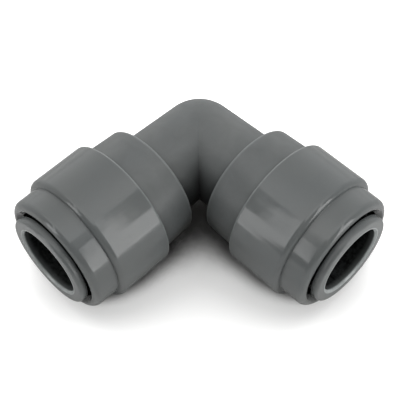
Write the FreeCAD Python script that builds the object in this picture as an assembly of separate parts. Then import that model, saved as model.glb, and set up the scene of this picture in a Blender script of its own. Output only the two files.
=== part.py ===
"""Equal 90 degree elbow, push to connect, for 12.7 mm (1/2 in) outside diameter tube.

Frame: origin at the centre of the footprint, on the surface the fitting lies on, +Z up.
The left port opens along -Y and the right port along +X.  Everything is in millimetres.

Each end is built once in a local frame whose +Z runs outwards along the port axis, then
turned and moved into place.  A name ending in _S is a station on that axis, measured from
the point where the two port axes cross; a name ending in _R is a radius about the axis.
Front means outwards, towards the port mouth; rear means towards the crossing point.
"""
import FreeCAD, Part
import math
import os

V = FreeCAD.Vector
ORIGIN = V(0, 0, 0)
PORT_AXIS = V(0, 0, 1)

# ---------------------------------------------------------------- shared dimensions
BORE_R = 6.46              # collet bore and socket bore
CAP_R = 12.43              # end cap at its rear rim, the widest part
FACE_S = 36.56             # front face of the collet
COLLAR_R = 11.00           # body collar under the end cap
BODY_END_S = 24.60
CHAMBER_FLOOR_S = 15.60
SNAP_S = 21.30             # middle of the snap bead that holds the end cap
SNAP_HALF = 0.75
SNAP_HEIGHT = 0.45
SNAP_CREST_S = SNAP_S - 0.15   # where the bead and its groove start to slope down
FINGERS = 6                # collet fingers, one grip tooth in each
FINGER_PITCH = 360.0 / FINGERS

# where the port axes cross: the elbow is centred in X and Y and rests on the cap rims
CROSSING = V(-(FACE_S - CAP_R) / 2.0, (FACE_S - CAP_R) / 2.0, CAP_R)

# axis that a quarter turn about takes local +Z to the port direction
TURN_AXES = {"left": V(1, 0, 0), "right": V(0, 1, 0)}


# ---------------------------------------------------------------- helpers
def profile(points):
    """Closed wire in the local XZ plane from (station, radius) points.

    A third entry in a point is the radius that rounds that corner.
    """
    corners = []               # (start, arc middle or None, end) of each corner
    for i, point in enumerate(points):
        station, radius = point[:2]
        corner = V(radius, 0, station)
        if len(point) == 2:
            corners.append((corner, None, corner))
            continue
        rounding = point[2]
        before = points[i - 1]
        after = points[(i + 1) % len(points)]
        to_before = (V(before[1], 0, before[0]) - corner).normalize()
        to_after = (V(after[1], 0, after[0]) - corner).normalize()
        half_angle = to_before.getAngle(to_after) / 2.0
        setback = rounding / math.tan(half_angle)
        start = corner + to_before * setback
        end = corner + to_after * setback
        bisector = (to_before + to_after).normalize()
        middle = corner + bisector * (rounding / math.sin(half_angle) - rounding)
        corners.append((start, middle, end))
    edges = []
    for i, (start, middle, end) in enumerate(corners):
        if middle is not None:
            edges.append(Part.Arc(start, middle, end).toShape())
        next_start = corners[(i + 1) % len(corners)][0]
        if end.distanceToPoint(next_start) > 1e-7:
            edges.append(Part.makeLine(end, next_start))
    return Part.Wire(edges)


def revolve(points, angle=360.0, start=0.0):
    """Solid swept by a profile about the port axis, from the start angle."""
    swept = Part.Face(profile(points)).revolve(ORIGIN, PORT_AXIS, angle)
    if start:
        swept.rotate(ORIGIN, PORT_AXIS, start)
    solid = swept.Solids[0]
    if solid.Volume < 0:       # a profile drawn the other way round comes out inverted
        solid.reverse()
    return solid


def single_solid(shape):
    """The only solid of a boolean result, with its split faces merged."""
    solids = shape.removeSplitter().Solids
    assert len(solids) == 1, "expected one solid, got %d" % len(solids)
    return solids[0]


def at_crossing(shape):
    moved = shape.copy()
    moved.translate(CROSSING)
    return moved


def place(shape, side):
    """Copy of a local shape on the left or right port."""
    turned = shape.copy()
    turned.rotate(ORIGIN, TURN_AXES[side], 90.0)
    turned.translate(CROSSING)
    return turned


# ---------------------------------------------------------------- elbow body
NECK_R = 8.00              # at the crossing point, and of the ball corner
NECK_END_R = 8.42          # where the neck meets the collar: moulding draft
NECK_FILLET = 0.40
COLLAR_REAR_R = 10.72
COLLAR_REAR_S = 12.24
COLLAR_REAR_FILLET = 0.60
COLLAR_TAPER_END_S = 19.20
SNAP_RAMP_EXTRA = 0.35     # the bead's front slope ends this far past its half length
WATERWAY_R = 5.00          # flow passage through the elbow
STOP_S = 13.00             # face the tube end rests on
CHAMBER_R = 8.50           # seal chamber
BODY_MOUTH_CHAMFER = 0.45
MOUTH_OVERCUT = 0.02       # carries the chamfer just past the end face
END_OVERCUT = 1.0          # carries the cutter clear of the body


def arm_outside():
    return revolve([
        (0.0, 0.0),
        (0.0, NECK_R),
        (COLLAR_REAR_S, NECK_END_R, NECK_FILLET),
        (COLLAR_REAR_S, COLLAR_REAR_R, COLLAR_REAR_FILLET),
        (COLLAR_TAPER_END_S, COLLAR_R),
        (SNAP_S - SNAP_HALF, COLLAR_R),
        (SNAP_S - SNAP_HALF, COLLAR_R + SNAP_HEIGHT, 0.08),
        (SNAP_CREST_S, COLLAR_R + SNAP_HEIGHT),
        (SNAP_S + SNAP_HALF + SNAP_RAMP_EXTRA, COLLAR_R),
        (BODY_END_S, COLLAR_R, 0.30),
        (BODY_END_S, 0.0),
    ])


def arm_inside():
    mouth_r = CHAMBER_R + BODY_MOUTH_CHAMFER + MOUTH_OVERCUT
    return revolve([
        (0.0, 0.0),
        (0.0, WATERWAY_R),
        (STOP_S, WATERWAY_R, 0.25),
        (STOP_S, BORE_R),
        (CHAMBER_FLOOR_S, BORE_R, 0.20),
        (CHAMBER_FLOOR_S, CHAMBER_R),
        (BODY_END_S - BODY_MOUTH_CHAMFER, CHAMBER_R),
        (BODY_END_S + MOUTH_OVERCUT, mouth_r),
        (BODY_END_S + END_OVERCUT, mouth_r),
        (BODY_END_S + END_OVERCUT, 0.0),
    ])


def both_arms_and_ball(arm, ball_r):
    """An arm on each port and the ball that rounds the corner between them."""
    return [place(arm, "left"), place(arm, "right"), at_crossing(Part.makeSphere(ball_r))]


def elbow_body():
    left_arm, *others = both_arms_and_ball(arm_outside(), NECK_R)
    outside = single_solid(left_arm.fuse(others))
    return single_solid(outside.cut(both_arms_and_ball(arm_inside(), WATERWAY_R)))


# ---------------------------------------------------------------- end cap
CAP_FRONT_R = 12.37        # where the front rounding begins
CAP_REAR_S = 19.41
CAP_REAR_EDGE = 0.50
SHOULDER_S = 30.50
SHOULDER_FILLET = 1.00
NOSE_R = 11.24             # at the shoulder
NOSE_FRONT_R = 11.17
NOSE_FRONT_S = 35.18
NOSE_FILLET = 1.25
DISH_R = 9.80              # the front face dishes in to the mouth from here
MOUTH_S = 34.32
RIM_EDGE = 0.14
RECESS_R = 8.91            # recess the collet flange sinks into
RECESS_FLOOR_S = 32.55
CONE_SMALL_S, CONE_SMALL_R = 30.80, 7.74
CONE_BIG_S, CONE_BIG_R = 25.50, 9.52
CAP_BORE_R = COLLAR_R + 0.05           # clear of the body collar
CAP_BORE_FLOOR_S = BODY_END_S + 0.12   # clear of the body's end face
GROOVE_R = CAP_BORE_R + SNAP_HEIGHT + 0.10     # groove over the snap bead
GROOVE_REAR_S = SNAP_S - SNAP_HALF - 0.08
GROOVE_FRONT_S = SNAP_S + SNAP_HALF + 0.50


def end_cap():
    return revolve([
        (CAP_REAR_S, CAP_BORE_R),
        (CAP_REAR_S, CAP_R, CAP_REAR_EDGE),
        (SHOULDER_S, CAP_FRONT_R, SHOULDER_FILLET),
        (SHOULDER_S, NOSE_R, 0.10),
        (NOSE_FRONT_S, NOSE_FRONT_R, NOSE_FILLET),
        (NOSE_FRONT_S, DISH_R, 0.30),
        (MOUTH_S, RECESS_R, RIM_EDGE),
        (RECESS_FLOOR_S, RECESS_R, 0.20),
        (RECESS_FLOOR_S, CONE_SMALL_R, 0.12),
        (CONE_SMALL_S, CONE_SMALL_R, 0.30),
        (CONE_BIG_S, CONE_BIG_R),
        (CAP_BORE_FLOOR_S, CONE_BIG_R),
        (CAP_BORE_FLOOR_S, CAP_BORE_R),
        (GROOVE_FRONT_S, CAP_BORE_R),
        (SNAP_CREST_S, GROOVE_R),
        (GROOVE_REAR_S, GROOVE_R),
        (GROOVE_REAR_S, CAP_BORE_R),
    ])


# ---------------------------------------------------------------- seals and rings
O_RING_CORD = 2.25         # cord diameter as seated
O_RING_MID_R = 7.36
SPACER_LENGTH = 1.00
WASHER_LENGTH = 1.20
RING_IN_R = 6.62
RING_OUT_R = 8.44
STACK_GAP = 0.04

# rear station of each ring, from the chamber floor outwards
INNER_O_RING_S = CHAMBER_FLOOR_S + STACK_GAP
SPACER_S = INNER_O_RING_S + O_RING_CORD + STACK_GAP
OUTER_O_RING_S = SPACER_S + SPACER_LENGTH + STACK_GAP
WASHER_S = OUTER_O_RING_S + O_RING_CORD + STACK_GAP


def o_ring(rear_s):
    cord_r = O_RING_CORD / 2.0
    torus = Part.makeTorus(O_RING_MID_R, cord_r)
    torus.translate(V(0, 0, rear_s + cord_r))
    return torus.Solids[0]


def flat_ring(rear_s, length, edge):
    front_s = rear_s + length
    return revolve([
        (rear_s, RING_IN_R, edge), (rear_s, RING_OUT_R, edge),
        (front_s, RING_OUT_R, edge), (front_s, RING_IN_R, edge),
    ])


# ---------------------------------------------------------------- grip teeth
TOOTH_THICKNESS = 0.40
TOOTH_LENGTH = 2.32
TOOTH_TIP_S, TOOTH_TIP_R = 25.95, 6.22
TOOTH_RUN, TOOTH_RISE = 1.60, 1.68     # slant: along the axis, away from the axis
TOOTH_BEVEL = 0.55         # length of the bevel that sharpens the tip
TOOTH_ARC = 38.0           # degrees about the port axis


def tooth_point(along, across):
    """(station, radius) at a distance along the slant and across it from the tip."""
    slant = math.hypot(TOOTH_RUN, TOOTH_RISE)
    run, rise = TOOTH_RUN / slant, TOOTH_RISE / slant
    return (TOOTH_TIP_S + along * run + across * rise,
            TOOTH_TIP_R + along * rise - across * run)


def grip_tooth(k):
    """Slanted steel blade in the middle of finger k."""
    section = [
        tooth_point(0.0, 0.0),
        tooth_point(TOOTH_LENGTH, 0.0),
        tooth_point(TOOTH_LENGTH, TOOTH_THICKNESS),
        tooth_point(TOOTH_BEVEL, TOOTH_THICKNESS),
    ]
    return revolve(section, TOOTH_ARC, FINGER_PITCH * k - TOOTH_ARC / 2.0)


# ---------------------------------------------------------------- collet
FLANGE_R = 8.78
FLANGE_REAR_S = FACE_S - 1.50
FLANGE_FRONT_FILLET = 0.50
FLANGE_REAR_FILLET = 0.18
SLEEVE_R = 7.48
BARB_R = 8.88
BARB_REAR_S, BARB_FRONT_S = 26.60, 27.15
BARB_SLOPE = 0.3358        # radius lost per mm in front of the barb
TIP_S, TIP_R = 25.30, 8.02
RELIEF_R = 6.80            # wider bore at the finger tips
RELIEF_S = 27.95
MOUTH_CHAMFER = 0.32
SLOT_WIDTH = 1.20
SLOT_END_S = 32.20
SLOT_START_S = TIP_S - 1.0     # clear of the finger tips
CUTTER_IN_R = 4.5          # inside the bore
CUTTER_DEPTH = 6.0         # reaches past the barb


def collet_blank():
    return revolve([
        (TIP_S, RELIEF_R, 0.10),
        (TIP_S, TIP_R, 0.20),
        (BARB_REAR_S, BARB_R, 0.25),
        (BARB_FRONT_S, BARB_R, 0.25),
        (BARB_FRONT_S + (BARB_R - SLEEVE_R) / BARB_SLOPE, SLEEVE_R),
        (FLANGE_REAR_S, SLEEVE_R, 0.15),
        (FLANGE_REAR_S, FLANGE_R, FLANGE_REAR_FILLET),
        (FACE_S, FLANGE_R, FLANGE_FRONT_FILLET),
        (FACE_S, BORE_R + MOUTH_CHAMFER),
        (FACE_S - MOUTH_CHAMFER, BORE_R),
        (RELIEF_S, BORE_R),
        (RELIEF_S - (RELIEF_R - BORE_R), RELIEF_R),
    ])


def slot_cutter(k):
    """Round-ended slot between finger k and the next."""
    half_width = SLOT_WIDTH / 2.0
    round_s = SLOT_END_S - half_width
    straight = Part.makeBox(CUTTER_DEPTH, SLOT_WIDTH, round_s - SLOT_START_S,
                            V(CUTTER_IN_R, -half_width, SLOT_START_S))
    rounded = Part.makeCylinder(half_width, CUTTER_DEPTH, V(CUTTER_IN_R, 0, round_s),
                                V(1, 0, 0))
    cutter = straight.fuse(rounded).removeSplitter()
    cutter.rotate(ORIGIN, PORT_AXIS, FINGER_PITCH * (k + 0.5))
    return cutter


def collet(teeth):
    """Slotted collet with a seat cut for each tooth."""
    slotted = collet_blank().cut([slot_cutter(k) for k in range(FINGERS)])
    return single_solid(slotted.cut(teeth))


# ---------------------------------------------------------------- assemble and write
def port_pieces():
    """Everything fitted to one port, in the local frame."""
    teeth = [grip_tooth(k) for k in range(FINGERS)]
    pieces = {
        "end_cap": end_cap(),
        "inner_o_ring": o_ring(INNER_O_RING_S),
        "outer_o_ring": o_ring(OUTER_O_RING_S),
        "seal_spacer_ring": flat_ring(SPACER_S, SPACER_LENGTH, edge=0.12),
        "backup_washer": flat_ring(WASHER_S, WASHER_LENGTH, edge=0.15),
        "collet": collet(teeth),
    }
    for number, tooth in enumerate(teeth, 1):
        pieces["grip_tooth_%d" % number] = tooth
    return pieces


def main():
    os.makedirs("parts", exist_ok=True)
    nodes = {"elbow_body": elbow_body()}
    pieces = port_pieces()
    for side in TURN_AXES:
        for name, shape in pieces.items():
            nodes["%s_%s" % (side, name)] = place(shape, side)
    for name, shape in nodes.items():
        assert shape.isValid(), name
        shape.exportStep("parts/%s.step" % name)


main()
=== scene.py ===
import math

import bpy
from mathutils import Matrix, Vector


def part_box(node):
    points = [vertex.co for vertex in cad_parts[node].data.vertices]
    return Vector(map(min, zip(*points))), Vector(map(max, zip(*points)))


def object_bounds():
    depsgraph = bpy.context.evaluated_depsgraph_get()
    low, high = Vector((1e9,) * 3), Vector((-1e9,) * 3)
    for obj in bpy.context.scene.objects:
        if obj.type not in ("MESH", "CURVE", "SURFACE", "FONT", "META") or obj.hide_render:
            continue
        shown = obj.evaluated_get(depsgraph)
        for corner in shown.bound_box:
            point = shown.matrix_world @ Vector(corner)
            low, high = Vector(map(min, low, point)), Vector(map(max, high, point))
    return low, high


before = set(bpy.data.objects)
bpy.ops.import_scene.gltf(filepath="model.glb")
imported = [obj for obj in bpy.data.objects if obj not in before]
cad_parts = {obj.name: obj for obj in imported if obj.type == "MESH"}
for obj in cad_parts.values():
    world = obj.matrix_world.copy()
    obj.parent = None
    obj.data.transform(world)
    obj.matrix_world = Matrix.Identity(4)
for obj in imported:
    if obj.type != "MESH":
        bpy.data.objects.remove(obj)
cad_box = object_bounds()
scene = bpy.context.scene

# ------------------------------------------------------------------ reference points
SIDES = ("left", "right")
left_lo, left_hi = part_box("left_end_cap")
right_lo, right_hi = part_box("right_end_cap")
CROSS = Vector((
    (left_hi.x + left_lo.x) / 2.0,
    (right_hi.y + right_lo.y) / 2.0,
    (left_hi.z + left_lo.z) / 2.0,
))
FLOOR_DROP = 0.00002                                          # floor below the lowest point

TO_CAMERA = Vector((0.40735, -0.38983, 0.8259)).normalized()  # from the object to the camera
VIEW_RIGHT = Vector((0.69138, 0.72249, 0.0)).normalized()
VIEW_UP = TO_CAMERA.cross(VIEW_RIGHT)
LEVEL_TO_CAMERA = Vector((TO_CAMERA.x, TO_CAMERA.y, 0.0)).normalized()
CAMERA_AZIMUTH = math.atan2(TO_CAMERA.y, TO_CAMERA.x)


def axes_matrix(x_axis, y_axis, z_axis):
    """A rotation whose columns are the three axes."""
    return Matrix((x_axis, y_axis, z_axis)).transposed().to_4x4()


# ------------------------------------------------------------------ node helpers
class Graph:
    """Node helpers for a material or world.  An input takes a number, a colour or a socket."""

    def __init__(self, owner):
        self.owner = owner
        owner.use_nodes = True
        self.nodes = owner.node_tree.nodes
        self.links = owner.node_tree.links

    def fill(self, node, inputs):
        for key, value in inputs.items():
            socket = node.inputs[key]
            if isinstance(value, bpy.types.NodeSocket):
                self.links.new(value, socket)
            elif socket.type == "RGBA":
                socket.default_value = tuple(value) + (1.0,)
            else:
                socket.default_value = value

    def node(self, kind, inputs=None, **settings):
        made = self.nodes.new("ShaderNode" + kind)
        for key, value in settings.items():
            setattr(made, key, value)
        self.fill(made, inputs or {})
        return made

    def surface(self, inputs):
        self.fill(self.shader, inputs)

    def noise(self, scale, detail, rough=0.55, distort=0.0, vector=None):
        return self.node("TexNoise", {
            "Scale": scale, "Detail": detail, "Roughness": rough, "Distortion": distort,
            "Vector": vector or self.coords}).outputs["Fac"]

    def ramp(self, value, lo, hi, at_lo=0.0, at_hi=1.0, smooth=False):
        """Map lo..hi to at_lo..at_hi, clamped."""
        return self.node(
            "MapRange", {0: value, 1: lo, 2: hi, 3: at_lo, 4: at_hi},
            interpolation_type="SMOOTHSTEP" if smooth else "LINEAR").outputs[0]

    def spots(self, scale, detail, lo=0.3, hi=0.7, at_lo=0.0, at_hi=1.0, rough=0.55, distort=0.0):
        """Noise with its lo..hi stretched to at_lo..at_hi."""
        return self.ramp(self.noise(scale, detail, rough, distort), lo, hi, at_lo, at_hi)

    def math(self, operation, a, b=0.0):
        return self.node("Math", {0: a, 1: b}, operation=operation).outputs[0]

    def times(self, value, by):
        return self.math("MULTIPLY", value, by)

    def plus(self, value, add):
        return self.math("ADD", value, add)

    def dot(self, a, b):
        return self.node("VectorMath", {0: a, 1: b}, operation="DOT_PRODUCT").outputs["Value"]

    def curve(self, value, stops):
        """A grey value read from (position, value) stops in rising order."""
        lo, hi = stops[0][0], stops[-1][0]
        made = self.node("ValToRGB", {0: self.ramp(value, lo, hi)})
        elements = made.color_ramp.elements
        for element, position, stop in ((elements[0], 0.0, stops[0]), (elements[1], 1.0, stops[-1])):
            element.position = position
            element.color = (stop[1],) * 3 + (1,)
        for at, grey in stops[1:-1]:
            elements.new((at - lo) / (hi - lo)).color = (grey, grey, grey, 1)
        return made.outputs[0]

    def mix(self, amount, under, over):
        return self.node("Mix", {0: amount, 6: under, 7: over}, data_type="RGBA").outputs[2]


class Material(Graph):
    def __init__(self, name):
        super().__init__(bpy.data.materials.new(name))
        self.nodes.clear()
        output = self.node("OutputMaterial")
        self.shader = self.node("BsdfPrincipled")
        self.fill(output, {0: self.shader.outputs[0]})
        self.coords = self.node("TexCoord").outputs["Object"]

    def edge(self, radius, lo=0.02, hi=0.35):
        """1 on sharp edges, 0 on flats: how far a bevelled normal leans from the real one."""
        bevel = self.node("Bevel", {"Radius": radius}, samples=8)
        geometry = self.node("NewGeometry")
        same = self.dot(bevel.outputs[0], geometry.outputs["Normal"])
        return self.ramp(self.math("SUBTRACT", 1.0, same), lo, hi)

    def openness(self, distance, samples):
        """1 in the open, 0 where other surfaces within the distance close a spot in."""
        return self.node("AmbientOcclusion", {"Distance": distance}, samples=samples).outputs["AO"]

    def hollow(self, distance, lo=0.25, hi=0.95):
        """1 in narrow gaps and hollows, 0 in the open."""
        return self.ramp(self.openness(distance, samples=8), lo, hi, at_lo=1.0, at_hi=0.0)

    def port(self, side):
        """Radius from a port's axis and station outwards from CROSS, in metres."""
        offset = self.node("VectorMath", {0: self.coords, 1: CROSS}, operation="SUBTRACT")
        x, y, z = self.node("SeparateXYZ", {0: offset.outputs[0]}).outputs
        across, station = (x, self.times(y, by=-1.0)) if side == "left" else (y, x)
        squares = self.plus(self.times(across, across), self.times(z, z))
        return self.math("SQRT", squares), station

    def band(self, value, at, reach):
        """1 near one value, falling to 0 at reach on both sides."""
        away = self.math("ABSOLUTE", self.math("SUBTRACT", value, at))
        return self.ramp(away, reach * 0.4, reach, at_lo=1.0, at_hi=0.0)

    def bump(self, height, strength, distance, normal=None):
        inputs = {"Strength": strength, "Distance": distance, "Height": height}
        if normal is not None:
            inputs["Normal"] = normal
        return self.node("Bump", inputs).outputs[0]


# ------------------------------------------------------------------ moulded plastic
GREY = (0.140, 0.150, 0.149)
WARM, COOL = (1.03, 1.0, 0.985), (0.985, 1.0, 1.03)   # tints of the pigment


def scaled(colour, by):
    return [c * by for c in colour]


def tinted(colour, tint):
    return [c * t for c, t in zip(colour, tint)]


def plastic(name, base, rough, rough_spread, mottle, wave, grain, painted_shade=None, crease=0.0,
            painted_highlight=None, highlight_gain=2.0):
    """Pigment mottle, flow marks, fine tool grain, paler worn edges and painted shade in the gaps.
    deep(m) masks inner walls for painted shade, rim(m) the rims for a painted highlight, rubbed
    times brighter;
    crease is how strongly wide hollows get painted shade, wave and grain are bump strengths."""
    m = Material(name)
    dark, light = scaled(base, by=1.0 - mottle), scaled(base, by=1.0 + mottle)

    # pigment: mottle, a broad drift of tint and fine pale specks
    cloud = m.spots(scale=260.0, detail=4.0, rough=0.6, distort=0.4)
    colour = m.mix(cloud, dark, light)
    drift = m.spots(scale=95.0, detail=2.0, lo=0.35, hi=0.65)
    tint = m.mix(drift, tinted(dark, COOL), tinted(light, WARM))
    colour = m.mix(amount=0.35, under=colour, over=tint)
    speck = m.spots(scale=5200.0, detail=1.0, rough=0.5, lo=0.66, hi=0.78)
    colour = m.mix(m.times(speck, by=0.10), colour, scaled(base, by=1.7))

    # wear on the edges
    worn = m.edge(radius=0.00018)
    patch = m.spots(scale=900.0, detail=3.0, lo=0.35, hi=0.62)
    worn_amount = m.times(worn, m.plus(m.times(patch, by=0.35), add=0.45))
    colour = m.mix(worn_amount, colour, [c * 1.75 + 0.02 for c in base])

    # painted shade in the gaps and in the wide creases
    shaded_gap = m.hollow(distance=0.0012)
    colour = m.mix(m.times(shaded_gap, by=0.35), colour, scaled(base, by=0.55))
    if crease:
        wide = m.times(m.hollow(distance=0.016, lo=0.30, hi=0.78), crease)
        colour = m.mix(wide, colour, scaled(base, by=0.06))

    gloss = m.spots(scale=420.0, detail=4.0, rough=0.6, lo=0.25, hi=0.75,
                    at_lo=rough - rough_spread, at_hi=rough + rough_spread)
    gloss = m.plus(gloss, m.times(worn, by=0.06))
    gloss = m.plus(gloss, m.times(shaded_gap, by=0.12))

    # painted highlight: pale rings on the rims, brighter by the given factor
    if painted_highlight is not None:
        highlight_mask = m.times(painted_highlight(m), m.spots(scale=1100.0, detail=3.0, at_lo=0.65))
        colour = m.mix(highlight_mask, colour, scaled(base, highlight_gain))
    # painted shade: inner walls and hollows darken nearly to black, with weaker reflections there
    if painted_shade is not None:
        shade_mask = m.times(painted_shade(m), m.spots(scale=1400.0, detail=3.0, at_lo=0.80))
        colour = m.mix(shade_mask, colour, scaled(base, by=0.03))
        m.surface({"Specular IOR Level": m.ramp(shade_mask, lo=0.0, hi=1.0, at_lo=0.5, at_hi=0.05)})

    flow = m.bump(m.noise(scale=170.0, detail=2.0, rough=0.5), wave, distance=0.00012)
    tool = m.noise(scale=7000.0, detail=2.0, rough=0.6)
    m.surface({"Base Color": colour, "Roughness": gloss, "IOR": 1.48,
               "Normal": m.bump(tool, grain, distance=0.00002, normal=flow)})
    return m.owner


# ------------------------------------------------------------------ masks about the port axes, where shade and highlights are painted
FACE = (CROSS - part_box("left_collet")[0]).y   # station of a collet's outer face
BORE = 0.00646                                # radius of a collet's bore
FLANGE_REAR = FACE - 0.00150                  # station of the back of a collet's flange


def shade_collet(m, side):
    """Where shade is painted: the bore, and everything behind the flange."""
    radius, station = m.port(side)
    bore = m.times(m.ramp(radius, lo=BORE + 0.00002, hi=BORE + 0.00008, at_lo=1.0, at_hi=0.0),
                   m.ramp(station, lo=FACE - 0.0015, hi=FACE - 0.0003, at_lo=1.0, at_hi=0.0))
    behind = m.times(
        m.ramp(station, lo=FLANGE_REAR - 0.00006, hi=FLANGE_REAR + 0.00006, at_lo=1.0, at_hi=0.0),
        m.ramp(radius, lo=BORE + 0.0002, hi=BORE + 0.0004))
    return m.math("MAXIMUM", bore, behind)


def shade_cap(m, side):
    """Where shade is painted: the inner wall, fading out over the outer face around it."""
    radius, station = m.port(side)
    inner = m.ramp(radius, lo=0.00893, hi=0.00899, at_lo=1.0, at_hi=0.0)
    dish = m.times(m.ramp(radius, lo=0.00893, hi=0.0106, at_lo=0.80, at_hi=0.0),
                   m.ramp(station, lo=0.0335, hi=0.0340))
    return m.math("MAXIMUM", inner, dish)


def shade_body(m):
    """Where shade is painted: the inside of both mouths."""
    masks = []
    for side in SIDES:
        radius, station = m.port(side)
        masks.append(m.times(m.ramp(station, lo=0.0128, hi=0.0132),
                             m.ramp(radius, lo=0.0085, hi=0.0087, at_lo=1.0, at_hi=0.0)))
    return m.math("MAXIMUM", *masks)


def highlight_rim_cap(m, side):
    """Where a highlight is painted: a narrow ring round the outside of the cap."""
    radius, station = m.port(side)
    ring = m.band(station, at=0.01955, reach=0.0004)
    return m.times(ring, m.times(m.ramp(radius, lo=0.0118, hi=0.0121), by=0.7))


def highlight_rim_collet(m, side):
    """Where a highlight is painted: the lip of the bore at the outer face."""
    radius, station = m.port(side)
    return m.times(m.ramp(station, lo=FACE - 0.0006, hi=FACE - 0.0004),
                   m.ramp(radius, lo=0.00685, hi=0.00705, at_lo=1.0, at_hi=0.0))


def highlight_rim_body(m):
    """Where a highlight is painted: a narrow ring round the outside of each port."""
    masks = []
    for side in SIDES:
        radius, station = m.port(side)
        masks.append(m.times(m.band(station, at=0.0124, reach=0.0005),
                             m.ramp(radius, lo=0.0100, hi=0.0104)))
    return m.times(m.math("MAXIMUM", *masks), by=0.6)


# ------------------------------------------------------------------ rubber and steel
def rubber():
    m = Material("nitrile_rubber")
    colour = m.mix(m.spots(scale=700.0, detail=3.0),
                   under=(0.010, 0.010, 0.010), over=(0.022, 0.022, 0.021))
    dust = m.spots(scale=3800.0, detail=2.0, lo=0.62, hi=0.75)
    colour = m.mix(m.times(dust, by=0.25), under=colour, over=(0.09, 0.088, 0.082))
    grain = m.noise(scale=9000.0, detail=2.0)
    m.surface({"Base Color": colour,
               "Roughness": m.spots(scale=500.0, detail=3.0, at_lo=0.30, at_hi=0.55),
               "Normal": m.bump(grain, strength=0.25, distance=0.00002)})
    return m.owner


def steel():
    """Bright steel with grain drawn out along X."""
    m = Material("spring_stainless")
    colour = m.mix(m.spots(scale=900.0, detail=3.0),
                   under=(0.46, 0.455, 0.45), over=(0.62, 0.615, 0.60))
    drawn = m.node("Mapping", {"Scale": (900.0, 9000.0, 9000.0), "Vector": m.coords}).outputs[0]
    grain = m.noise(scale=1.0, detail=3.0, rough=0.6, vector=drawn)
    m.surface({"Base Color": colour, "Metallic": 1.0,
               "Roughness": m.spots(scale=1500.0, detail=4.0, at_lo=0.18, at_hi=0.36),
               "Normal": m.bump(grain, strength=0.25, distance=0.00002)})
    return m.owner


# ------------------------------------------------------------------ materials on the pieces
MATERIALS = {
    "body": plastic("moulded_body_satin", GREY, rough=0.40, rough_spread=0.07, mottle=0.13,
                    wave=0.10, grain=0.30, painted_shade=shade_body, crease=1.0, painted_highlight=highlight_rim_body),
    "ring": plastic("moulded_inner_ring", scaled(GREY, by=0.6), rough=0.38, rough_spread=0.06,
                    mottle=0.07, wave=0.10, grain=0.25),
}
for side in SIDES:
    MATERIALS[side + "_end_cap"] = plastic(
        "moulded_cap_gloss_" + side, GREY, rough=0.12, rough_spread=0.03, mottle=0.03,
        wave=0.35, grain=0.05, painted_shade=lambda m: shade_cap(m, side), painted_highlight=lambda m: highlight_rim_cap(m, side))
    MATERIALS[side + "_collet"] = plastic(
        "moulded_collet_" + side, scaled(GREY, by=0.98), rough=0.24, rough_spread=0.04,
        mottle=0.05, wave=0.06, grain=0.12, painted_shade=lambda m: shade_collet(m, side),
        painted_highlight=lambda m: highlight_rim_collet(m, side), highlight_gain=2.9)
MATERIALS["rubber"] = rubber()
MATERIALS["steel"] = steel()


def family(name):
    """The key in MATERIALS for a piece."""
    if "o_ring" in name:
        return "rubber"
    if "tooth" in name:
        return "steel"
    if "spacer" in name or "washer" in name:
        return "ring"
    if name.startswith(SIDES) and name in MATERIALS:
        return name
    return "body"


for name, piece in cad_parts.items():
    material = MATERIALS[family(name)]
    if not piece.material_slots:
        piece.data.materials.append(material)
    for slot in piece.material_slots:
        slot.material = material

# ------------------------------------------------------------------ floor
FLOOR_HALF = 1.6
FLOOR_GLOW = 0.80          # seen by the camera only, so that the floor reads white
CONTACT = 0.030            # reach of the contact shadow
# openness to the light, brightness of the floor's painted shadow there
SHADOW = ((0.0, 0.0), (0.21, 0.0), (0.25, 0.02), (0.30, 0.19), (0.35, 0.44), (0.39, 0.53),
          (0.51, 0.55), (0.62, 0.66), (0.70, 0.78), (0.86, 1.0), (1.0, 1.0))
# metres towards the camera, the floor's brightness in reflections
SHADE = ((-0.100, 1.0), (-0.070, 1.0), (-0.050, 0.62), (-0.015, 0.62), (0.0, 0.95), (0.020, 1.0))


def floor_material():
    m = Material("pale_floor")
    openness = m.openness(CONTACT, samples=40)
    # painted contact shadow: the floor's colour and its camera-only glow darken where other surfaces
    # close a spot in
    painted_contact_shadow = m.curve(openness, SHADOW)
    seen = m.node("LightPath").outputs["Is Camera Ray"]
    pale = m.mix(m.spots(scale=40.0, detail=3.0),
                 under=(0.90, 0.90, 0.895), over=(0.93, 0.93, 0.925))
    shown = m.mix(painted_contact_shadow, under=(0.050, 0.048, 0.045), over=pale)
    # painted shadow for reflections and bounces, softer, from the same openness
    bounced = m.mix(m.ramp(openness, lo=0.25, hi=0.80), under=(0.16, 0.155, 0.145), over=pale)
    # the object's own shade on the floor, which only shows as a reflection in the plastic
    shade = m.curve(m.dot(m.coords, LEVEL_TO_CAMERA), SHADE)
    shaded = m.node("VectorMath", {0: bounced, 1: shade}, operation="MULTIPLY").outputs[0]
    grain = m.noise(scale=3000.0, detail=2.0)
    m.surface({"Base Color": m.mix(seen, shaded, shown),
               "Roughness": 0.65,
               "Specular IOR Level": 0.15,
               "Normal": m.bump(grain, strength=0.05, distance=0.00002),
               "Emission Color": (1.0, 1.0, 0.995),
               "Emission Strength": m.times(m.times(painted_contact_shadow, FLOOR_GLOW), seen)})
    return m.owner


def make_floor():
    z = cad_box[0][2] - FLOOR_DROP
    corners = [(x * FLOOR_HALF, y * FLOOR_HALF, z) for x, y in ((-1, -1), (1, -1), (1, 1), (-1, 1))]
    mesh = bpy.data.meshes.new("floor")
    mesh.from_pydata(corners, [], [(0, 1, 2, 3)])
    floor = bpy.data.objects.new("floor", mesh)
    scene.collection.objects.link(floor)
    mesh.materials.append(floor_material())


make_floor()

# ------------------------------------------------------------------ side lights
FLOOR_Z = cad_box[0][2] - CROSS.z    # heights below are measured from CROSS
SIDE_DISTANCE = 0.220                # from CROSS to the upright plane of each side's lights
SIDE_ANGLE = 62.0                    # degrees round from the camera to that plane
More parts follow.
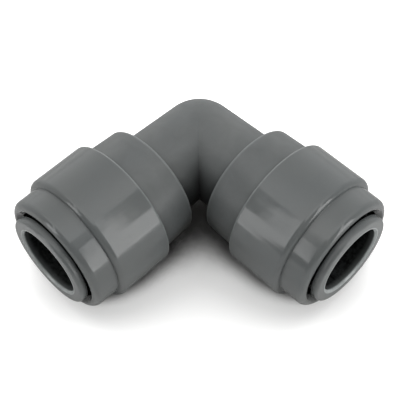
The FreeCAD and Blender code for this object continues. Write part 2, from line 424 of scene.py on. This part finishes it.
# Strips: centre at foot, centre at top, z of foot, z of top, width.
# Boxes: front, back, z of bottom, z of top.
# The first two columns run along the plane, away from the camera.
RIGHT_STRIPS = ((-0.054, -0.0158, FLOOR_Z, 0.216, 0.028), (-0.0090, 0.0265, 0.216, 0.400, 0.0155))
RIGHT_BOXES = ((-0.036, 0.035, FLOOR_Z, 0.047), (-0.028, 0.035, 0.047, 0.107))
LEFT_STRIPS = ((-0.0273, -0.0013, 0.050, 0.206, 0.028), (0.0075, 0.0395, 0.206, 0.400, 0.0235))
LEFT_BOXES = ((-0.014, 0.035, FLOOR_Z, 0.020), (-0.020, 0.035, 0.020, 0.050),
              (-0.014, 0.035, 0.050, 0.104))


def panel(name, corner, along, across, width, length, radiance):
    """An area light with a corner at CROSS + corner, its length running `along` and its width
    `across`, turned to shine at the object.  Radiance 1 is the picture's white."""
    y_axis = Vector(along).normalized()
    x_axis = (across - y_axis * across.dot(y_axis)).normalized()
    z_axis = x_axis.cross(y_axis)
    middle = corner + y_axis * length / 2.0 + x_axis * width / 2.0
    if z_axis.dot(middle) < 0:       # an area light shines along its -Z
        x_axis, z_axis = -x_axis, -z_axis
    data = bpy.data.lights.new(name, "AREA")
    data.shape = "RECTANGLE"
    data.size, data.size_y = width, length
    data.energy = radiance * width * length * math.pi
    light = bpy.data.objects.new(name, data)
    light.matrix_world = axes_matrix(x_axis, y_axis, z_axis)
    light.location = CROSS + middle
    scene.collection.objects.link(light)


def side_panels(name, turn, strips, boxes, radiance):
    """Narrow leaning strips and low wide boxes on one upright plane; turn is 1 on the camera's
    right, -1 on its left."""
    azimuth = CAMERA_AZIMUTH + math.radians(turn * SIDE_ANGLE)
    out = Vector((math.cos(azimuth), math.sin(azimuth), 0.0)) * SIDE_DISTANCE
    back = Vector((-math.sin(azimuth), math.cos(azimuth), 0.0)) * turn
    up = Vector((0, 0, 1))
    for i, (foot, top, z0, z1, width) in enumerate(strips, 1):
        axis = (back * (top - foot) + up * (z1 - z0)).normalized()
        across = (back - axis * back.dot(axis)).normalized()
        corner = out + back * foot + up * z0 - across * width / 2.0
        panel(f"{name}_strip_{i}", corner, axis, across, width,
              math.hypot(top - foot, z1 - z0), radiance)
    for i, (near, far, z0, z1) in enumerate(boxes, 1):
        panel(f"{name}_box_{i}", out + back * near + up * z0, up, back, far - near, z1 - z0,
              radiance)


side_panels("softbox_right", 1.0, RIGHT_STRIPS, RIGHT_BOXES, radiance=3.7)
side_panels("softbox_left", -1.0, LEFT_STRIPS, LEFT_BOXES, radiance=2.8)

# ------------------------------------------------------------------ world
ROOF_SLOPE = 0.51          # sideways reach of the roof for each unit of height
# direction away from the camera (-1 towards it, 1 away), brightness
ROOF = ((-1.0, 1.2), (-0.5, 1.6), (-0.1, 1.70), (0.15, 1.40), (0.38, 0.95), (0.6, 0.75),
        (0.8, 0.92), (1.0, 1.20))
WALL = ((-1.0, 0.06), (-0.5, 0.12), (0.0, 0.30), (0.5, 0.60), (1.0, 1.10))


def studio_world():
    """A white tent: bright roof, and walls beyond +X and -Y that darken towards the camera."""
    w = Graph(bpy.data.worlds.new("studio"))
    w.shader = w.nodes["Background"]
    coords = w.node("TexCoord").outputs["Generated"]
    away = w.dot(coords, -LEVEL_TO_CAMERA)
    height = w.dot(coords, (0, 0, 1))
    roof, wall = w.curve(away, ROOF), w.curve(away, WALL)
    right, left = (
        w.math("SUBTRACT", w.times(height, ROOF_SLOPE), w.dot(coords, outwards))
        for outwards in ((1, 0, 0), (0, -1, 0)))
    under_roof = w.ramp(w.math("MINIMUM", right, left), lo=-0.012, hi=0.012, smooth=True)
    w.surface({0: w.mix(under_roof, wall, roof), 1: 1.0})
    return w.owner


scene.world = studio_world()

# ------------------------------------------------------------------ camera
CAMERA_OFFSET = Vector((0.07534476, -0.07230942, 0.1337652))   # from CROSS
ROLL = -0.0240                                                 # radians about the view axis

lens = bpy.data.cameras.new("camera")
lens.lens = 81.90
lens.sensor_width = 36.0
lens.clip_start = 0.005
lens.clip_end = 10.0
camera = bpy.data.objects.new("camera", lens)
scene.collection.objects.link(camera)
place = axes_matrix(
    math.cos(ROLL) * VIEW_RIGHT + math.sin(ROLL) * VIEW_UP,
    -math.sin(ROLL) * VIEW_RIGHT + math.cos(ROLL) * VIEW_UP,
    TO_CAMERA)
place.translation = CROSS + CAMERA_OFFSET
camera.matrix_world = place
scene.camera = camera
scene.view_settings.view_transform = "Standard"
scene.view_settings.look = "None"
scene.view_settings.exposure = 0.0
scene.view_settings.gamma = 1.0
